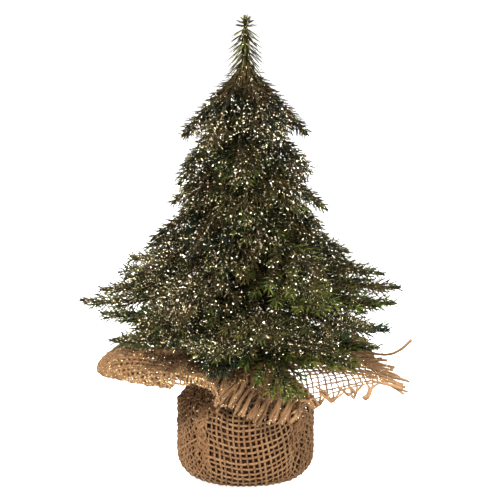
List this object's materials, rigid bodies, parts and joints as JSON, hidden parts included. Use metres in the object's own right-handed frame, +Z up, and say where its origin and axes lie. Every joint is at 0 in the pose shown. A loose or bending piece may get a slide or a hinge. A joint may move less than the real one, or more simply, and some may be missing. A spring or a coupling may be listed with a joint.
{
  "type": "artificial tabletop tree",
  "caption": "Small artificial tree with drooping glittered sprigs in tiers on a trunk, standing in a weighted base wrapped in coarse jute.",
  "frame": {"origin": "centre of the flat underside of the jute, where the tree stands", "axes": "+Z up along the trunk, -Y towards the front of the tree, +X to its right seen from the front"},
  "size_m": [0.1402, 0.137, 0.2],
  "materials": {
    "foliage": "moulded green plastic with champagne glitter",
    "jute": "coarse plain-woven jute with frayed edges",
    "wire_steel": "dull drawn steel wire",
    "tie_wire": "soft annealed wire",
    "cup_plastic": "thin moulded brown plastic",
    "spacer_plastic": "dark brown extruded tube",
    "cement": "cast cement"
  },
  "bodies": {
    "stand": {"trunk_wire": "wire_steel", "base_cup": "cup_plastic", "cement_weight": "cement", "jute_wrap": "jute", "neck_tie": "tie_wire", "tip_cap": "foliage", "spacer_01": "spacer_plastic", "spacer_02": "spacer_plastic", "spacer_03": "spacer_plastic", "spacer_04": "spacer_plastic", "spacer_05": "spacer_plastic", "spacer_06": "spacer_plastic", "spacer_07": "spacer_plastic", "spacer_08": "spacer_plastic", "spacer_09": "spacer_plastic", "spacer_10": "spacer_plastic"},
    "whorl_01": {"whorl_01": "foliage"},
    "whorl_02": {"whorl_02": "foliage"},
    "whorl_03": {"whorl_03": "foliage"},
    "whorl_04": {"whorl_04": "foliage"},
    "whorl_05": {"whorl_05": "foliage"},
    "whorl_06": {"whorl_06": "foliage"},
    "whorl_07": {"whorl_07": "foliage"},
    "whorl_08": {"whorl_08": "foliage"},
    "whorl_09": {"whorl_09": "foliage"},
    "whorl_10": {"whorl_10": "foliage"}
  },
  "joints": [
    {"name": "whorl_01_turn", "type": "hinge", "parent": "stand", "child": "whorl_01", "pos_m": [0, 0, 0.1765], "axis": [0, 0, 1], "continuous": true},
    {"name": "whorl_02_turn", "type": "hinge", "parent": "stand", "child": "whorl_02", "pos_m": [0, 0, 0.165], "axis": [0, 0, 1], "continuous": true},
    {"name": "whorl_03_turn", "type": "hinge", "parent": "stand", "child": "whorl_03", "pos_m": [0, 0, 0.1535], "axis": [0, 0, 1], "continuous": true},
    {"name": "whorl_04_turn", "type": "hinge", "parent": "stand", "child": "whorl_04", "pos_m": [0, 0, 0.142], "axis": [0, 0, 1], "continuous": true},
    {"name": "whorl_05_turn", "type": "hinge", "parent": "stand", "child": "whorl_05", "pos_m": [0, 0, 0.1305], "axis": [0, 0, 1], "continuous": true},
    {"name": "whorl_06_turn", "type": "hinge", "parent": "stand", "child": "whorl_06", "pos_m": [0, 0, 0.1195], "axis": [0, 0, 1], "continuous": true},
    {"name": "whorl_07_turn", "type": "hinge", "parent": "stand", "child": "whorl_07", "pos_m": [0, 0, 0.108], "axis": [0, 0, 1], "continuous": true},
    {"name": "whorl_08_turn", "type": "hinge", "parent": "stand", "child": "whorl_08", "pos_m": [0, 0, 0.096], "axis": [0, 0, 1], "continuous": true},
    {"name": "whorl_09_turn", "type": "hinge", "parent": "stand", "child": "whorl_09", "pos_m": [0, 0, 0.084], "axis": [0, 0, 1], "continuous": true},
    {"name": "whorl_10_turn", "type": "hinge", "parent": "stand", "child": "whorl_10", "pos_m": [0, 0, 0.0715], "axis": [0, 0, 1], "range_deg": [-12, 12]}
  ]
}
